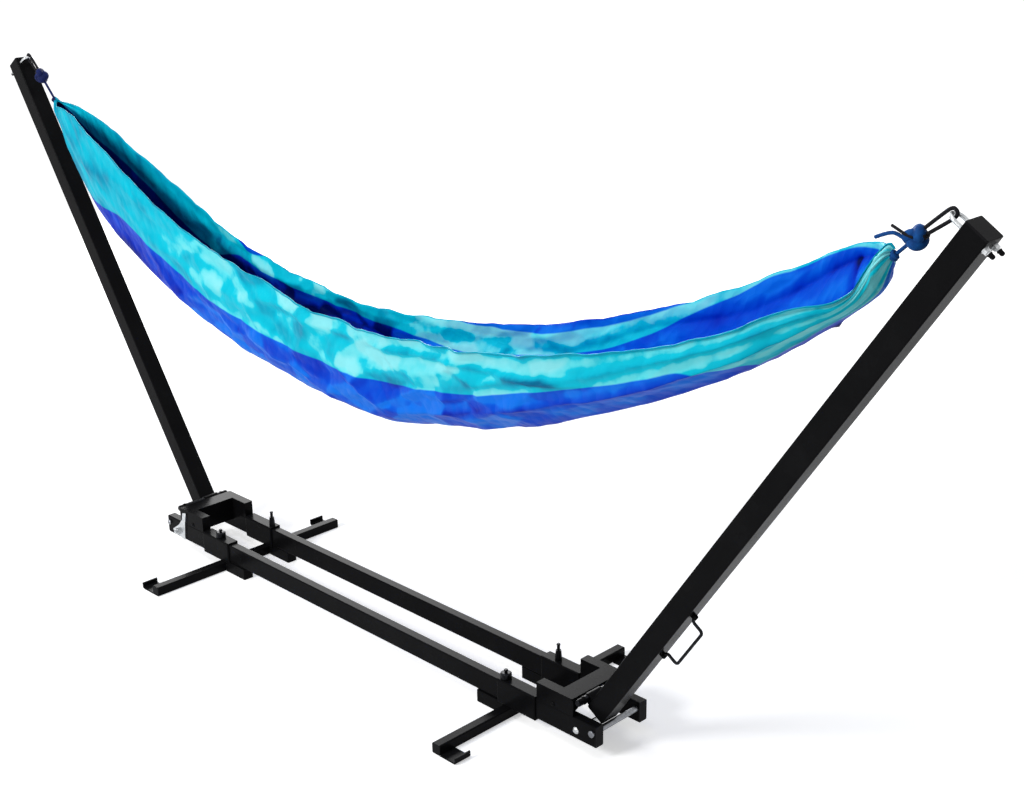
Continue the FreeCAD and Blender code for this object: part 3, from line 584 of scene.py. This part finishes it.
def cloth_surface(x, q):
    """Points of the cloth: q runs from -1 at the near rim over 0 at the bottom to 1 at the far rim."""
    share = np.abs(q)
    shut = np.maximum((x - MOUTH["right"][0]) / (MOUTH["right"][1] - MOUTH["right"][0]),
                      (x - MOUTH["left"][0]) / (MOUTH["left"][1] - MOUTH["left"][0]))
    shut = 1 - np.sqrt(1 - np.clip(shut, 0, 1) ** 2.2)
    steps = np.linspace(0, 1, len(OPEN_ACROSS)) ** 1.25
    across = ((1 - shut) * smooth_between(steps, OPEN_ACROSS, share)
              + shut * smooth_between(steps, SHUT_ACROSS, share))
    rise = ((1 - shut) * smooth_between(steps, OPEN_RISE, share)
            + shut * smooth_between(steps, SHUT_RISE, share))
    middle, low, near_rim, far_rim, half = (smooth_between(CLOTH_SECTIONS[:, 0], CLOTH_SECTIONS[:, k], x)
                                            for k in range(1, 6))
    # Where the mouth is shut both rims stand at the same height
    level = 0.5 * (near_rim + far_rim)
    rim = np.where(q < 0, near_rim, far_rim)
    rim = rim + shut * (level - rim)
    inset = np.minimum(0.003, half / 3)
    return np.stack([x + 0 * q, middle + np.sign(q) * across * (half - inset),
                     low + inset + rise * (rim - low - inset)], -1), rise


def stripe_distance(x, q, rise, arc):
    """How far each point is inside a blue stripe, in millimetres along the section."""
    near_share, far_share, band = (smooth_between(*zip(*knots), x[:, 0])
                                   for knots in (STRIPE_NEAR, STRIPE_FAR, RIM_BAND))
    inside = np.empty_like(rise)
    for k in range(len(x)):
        near, far = q[k] < 0, q[k] >= 0
        near_edge = np.interp(-near_share[k], -rise[k][near], arc[k][near])
        far_edge = np.interp(far_share[k], rise[k][far], arc[k][far])
        inside[k] = np.minimum(arc[k] - near_edge, far_edge - arc[k])
        inside[k] = np.maximum(inside[k], arc[k] - arc[k, -1] + band[k])
    return inside * 1000


def facets(u, v, seed):
    """A crumple over a plane: nearly flat facets about one unit wide. Its height, and each facet's painted
    shade, which goes with the facet's slope.
    """
    size = 64
    table = np.random.default_rng(seed).random((size, size, 5))
    column, row = np.floor(u).astype(int), np.floor(v).astype(int)
    height, shade = np.full(u.shape, -9.0), np.zeros(u.shape)
    for i in range(-2, 3):
        for j in range(-2, 3):
            cell = table[(column + i) % size, (row + j) % size]
            along, over = u - column - i - cell[..., 0], v - row - j - cell[..., 1]
            plane = 1.5 * ((cell[..., 2] - 0.5) * along + (cell[..., 3] - 0.5) * over) + 0.25 * cell[..., 4]
            plane = plane - 0.42 * (along ** 2 + over ** 2)
            shade = np.where(plane > height, cell[..., 3], shade)
            height = np.maximum(height, plane)
    return height, shade


def wander(u, v, seed):
    """A smooth, slow noise between about -1 and 1."""
    rng = np.random.default_rng(seed)
    total = np.zeros_like(u)
    for k in range(7):
        turn, pitch, shift = rng.uniform(0, math.pi), rng.uniform(0.6, 1.7), rng.uniform(0, 9)
        total += np.sin(pitch * (u * math.cos(turn) + v * math.sin(turn)) * 2 + shift)
    return total / 4


def gentle(value, low, high):
    """A smooth step from 0 at low to 1 at high, which may be the smaller."""
    share = np.clip((value - low) / (high - low), 0, 1)
    return share * share * (3 - 2 * share)


def crumples(x, across, rise, bends):
    """Facets over the cloth, strongest along the middle where it lies slack: their relief, and their painted
    sheen and shade, lighter along the middle.
    """
    slack = gentle(x, -0.75, -0.30) * gentle(x, 0.72, 0.34)
    coarse, wide = facets(x / 0.095 + across / 0.080 + 0.25 * bends[0],
                          across / 0.036 - x / 0.220 + 0.2 * bends[1], 21)
    fine, small = facets(x / 0.042 - across / 0.036 + 0.3 * bends[1],
                         across / 0.018 + x / 0.085 + 0.25 * bends[0], 22)
    strength = 0.3 + 0.7 * slack
    relief = strength * (0.35 + 0.65 * gentle(rise, 0.0, 0.3)) * (0.026 * coarse - 0.010 * fine)
    return relief, 0.47 + 0.13 * slack + strength * (0.50 * (wide - 0.42) + 0.46 * (small - 0.5))


def gathers(x, q, bends):
    """Long folds that run into the gathered ends, more and deeper ones at the right; with painted shade in
    their hollows, and the cloth painted lighter at the right and darker at the left.
    """
    right, left = gentle(x, 0.08, 0.45), gentle(x, -0.30, -0.80)
    many = 1 - np.abs(np.sin(math.pi * (3.3 * q + 0.22 * bends[0] + 0.5 * np.sin(2.2 * x)))) ** 0.7
    few = 1 - np.abs(np.sin(math.pi * (2.2 * q + 0.25 * bends[1] + 0.4 * np.sin(2.6 * x + 1)))) ** 0.8
    relief = -(right * 0.0070 * many) - left * 0.0046 * few
    return relief, right * (0.26 - 0.5 * many) - left * (0.05 + 0.25 * few)


def grooves(x, q, arc, rise):
    """A long fold under the near rim and one across the right end inside, with painted shade in both, and
    painted shade deep inside the pouch.
    """
    width = 0.006
    under_rim = np.exp(-((arc - 0.024 - 0.03 * gentle(x, 0.3, 0.7)) / width) ** 2)
    under_rim *= gentle(x, 0.06, 0.16) * gentle(x, 0.68, 0.58)
    cross = np.exp(-((x - 1.022 - 0.05 * (q - 0.45) ** 2) / width) ** 2)
    cross *= gentle(q, 0.08, 0.2) * gentle(q, 0.95, 0.8)
    painted_deep_shade = gentle(q, 0.0, 0.06) * gentle(rise, 0.92, 0.74) * gentle(x, 0.16, -0.02)
    return -(0.008 * under_rim + 0.005 * cross), -(0.55 * under_rim + 0.6 * cross + 0.5 * painted_deep_shade)


def cloth_relief(x, q, arc, rise):
    """How far the folds and creases lift the cloth along its normal, and the painted light and shade there.
    """
    across = arc - arc[:, ROWS // 2][:, None]
    bends = wander(x * 6, across * 10, 5), wander(x * 7, across * 9, 6)
    layers = crumples(x, across, rise, bends), gathers(x, q, bends), grooves(x, q, arc, rise)
    relief, painted_light = (sum(layer[k] for layer in layers) for k in (0, 1))

    # Close to its ties the cloth is drawn tight into fine pleats, and a painted highlight makes its end paler
    tight = gentle(np.abs(x), 1.00, 1.11)
    relief *= 1 - 0.75 * tight
    relief += tight * 0.0011 * np.sin(math.pi * (13 * q + 0.6 * bends[0]))
    painted_light += 0.22 * gentle(x, 1.055, 1.085) * gentle(across, 0.06, -0.02)
    for axis in (0, 1):
        painted_light = 0.5 * painted_light + 0.25 * (np.roll(painted_light, 1, axis) + np.roll(painted_light, -1, axis))
    return relief, painted_light


def make_cloth(material):
    """The hanging cloth: a gathered pouch, parted in the middle so that each half follows its arm."""
    x_first, x_last = CLOTH_SECTIONS[0, 0], CLOTH_SECTIONS[-1, 0]
    columns = np.concatenate([np.linspace(x_first, -1.06, 18), np.arange(-1.055, -CLOTH_STEP / 2, CLOTH_STEP),
                              np.arange(0, 1.06, CLOTH_STEP), np.linspace(1.0605, x_last, 30)])
    q = np.linspace(-1, 1, ROWS)
    x, q = np.meshgrid(columns, q, indexing="ij")
    points, rise = cloth_surface(x, q)
    arc = np.concatenate([np.zeros((len(columns), 1)),
                          np.cumsum(np.linalg.norm(np.diff(points, axis=1), axis=2), axis=1)], 1)
    stripe = stripe_distance(x, q, rise, arc)
    tangent_x, tangent_q = np.gradient(points, axis=0), np.gradient(points, axis=1)
    normal = np.cross(tangent_x, tangent_q)
    normal /= np.linalg.norm(normal, axis=2)[..., None]
    relief, painted_light = cloth_relief(x, q, arc, rise)
    points = points + normal * relief[..., None]

    # Both rims are a little ragged, away from the ties
    for side, seed in ((-1, 31), (1, 32)):
        ragged = facets(columns / 0.028, columns * 0 + 0.3, seed)[0]
        ragged += 0.4 * wander(columns * 25, columns * 9, seed)
        near = np.exp(-np.abs(q - side) / 0.12)
        points[..., 2] += 0.0045 * near * (ragged * (1 - gentle(np.abs(columns), 0.95, 1.08)))[:, None]

    # The rolled hem along each rim
    rolled = {}
    for rim, inward in ((0, 1), (-1, -1)):
        up = points[:, rim] - points[:, rim + 2 * inward]
        up /= np.linalg.norm(up, axis=1)[:, None]
        out = -normal[:, rim]
        angles = np.linspace(0, math.radians(285), HEM_ROWS + 1)[1:]
        turns = [(1 - math.cos(a), math.sin(a)) for a in angles]
        rows = [points[:, rim] + HEM * (o * out + u * up) for o, u in turns]
        rolled[rim] = np.stack(rows[::-1] if rim == 0 else rows, 1)
    points = np.concatenate([rolled[0], points, rolled[-1]], 1)
    stripe, painted_light, x, arc = (np.pad(a, ((0, 0), (HEM_ROWS, HEM_ROWS)), mode="edge")
                           for a in (stripe, painted_light, x, arc))
    # The rolled hems get a darker painted shade
    painted_light[:, :HEM_ROWS], painted_light[:, -HEM_ROWS:] = 0.25, 0.25

    whole = grid_mesh("cloth", points, {"stripe_mm": stripe, "painted_light": painted_light}, x, arc)
    middle = int(np.searchsorted(columns, -1e-6))
    for end in ENDS:
        half = slice(middle, None) if end == "right" else slice(0, middle + 1)
        marks = {"stripe_mm": stripe[half], "painted_light": painted_light[half]}
        mesh = grid_mesh(f"hammock_{end}_half", points[half], marks, x[half], arc[half])
        set_normals(mesh, whole, half, points.shape)
        piece = new_object(f"hammock_{end}_half", mesh, material)
        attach(piece, f"arm_{end}")
        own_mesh(piece)
        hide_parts("hammock_cloth")
    bpy.data.meshes.remove(whole)


def grid_mesh(name, points, marks, x, arc):
    """A grid of points as a mesh, with its named attributes and the cut's own coordinates."""
    rows, cols = points.shape[:2]
    index = np.arange(rows * cols).reshape(rows, cols)
    faces = np.stack([index[:-1, :-1], index[1:, :-1], index[1:, 1:], index[:-1, 1:]], -1).reshape(-1, 4)
    mesh = bpy.data.meshes.new(name)
    mesh.from_pydata([tuple(p) for p in points.reshape(-1, 3)], [], [tuple(map(int, f)) for f in faces])
    mesh.polygons.foreach_set("use_smooth", [True] * len(mesh.polygons))
    for mark, values in marks.items():
        mesh.attributes.new(mark, "FLOAT", "POINT").data.foreach_set("value", values.reshape(-1).astype("f"))
    cut = np.stack([x.reshape(-1), arc.reshape(-1)], 1)[faces.reshape(-1)]
    mesh.uv_layers.new(name="cut").data.foreach_set("uv", cut.reshape(-1).astype("f"))
    mesh.update()
    return mesh


def set_normals(mesh, whole, half, shape):
    """Gives a half the whole cloth's normals, so that no line shows where the halves meet."""
    normals = np.array([v.normal for v in whole.vertices]).reshape(*shape[:2], 3)[half].reshape(-1, 3)
    mesh.normals_split_custom_set_from_vertices([tuple(n) for n in normals])


# ---------------------------------------------------------------- everything together

bpy.context.scene.view_settings.view_transform = "Standard"
make_camera()

blue_braid = braided_polyester("blue_braided_polyester", "#093670", "#104E92")
black_braid = braided_polyester("black_braided_polyester", "#0A0A0E", "#16161C")
# The left end's rope is the blue rope again, drawn darker as painted shade
shaded_blue_braid = braided_polyester("blue_braided_polyester_in_painted_shade", "#0A1238", "#12225E")
cord_at = {"right": blue_braid, "left": shaded_blue_braid}
make_ropes(cord_at, black_braid)

slot_materials = {
    "powder_coat": coated_steel(),
    "plug_plastic": moulded_plastic(),
    "zinc_plate": metal("zinc_plated_steel", "#A9ACAF", "#D3D5D6", 0.28, 0.007),
    "blacked_steel": metal("blacked_steel", "#141416", "#242528", 0.38, 0.009),
    "plain_steel": metal("plain_steel", "#6A6C70", "#8E9094", 0.3, 0.005),
    "striped_nylon": striped_nylon(),
    "blue_rope": blue_braid,
    "black_rope": black_braid,
}
for subpart in frame["record"]["subparts"]:
    solid = frame["nodes"][subpart["node"]]
    solid.data.materials.clear()
    solid.data.materials.append(slot_materials[subpart["material_slot"]])

make_knots(cord_at, black_braid)
make_bolt_caps(slot_materials["plug_plastic"])
make_pin_springs(slot_materials["plain_steel"])
make_cloth(slot_materials["striped_nylon"])
make_studio()
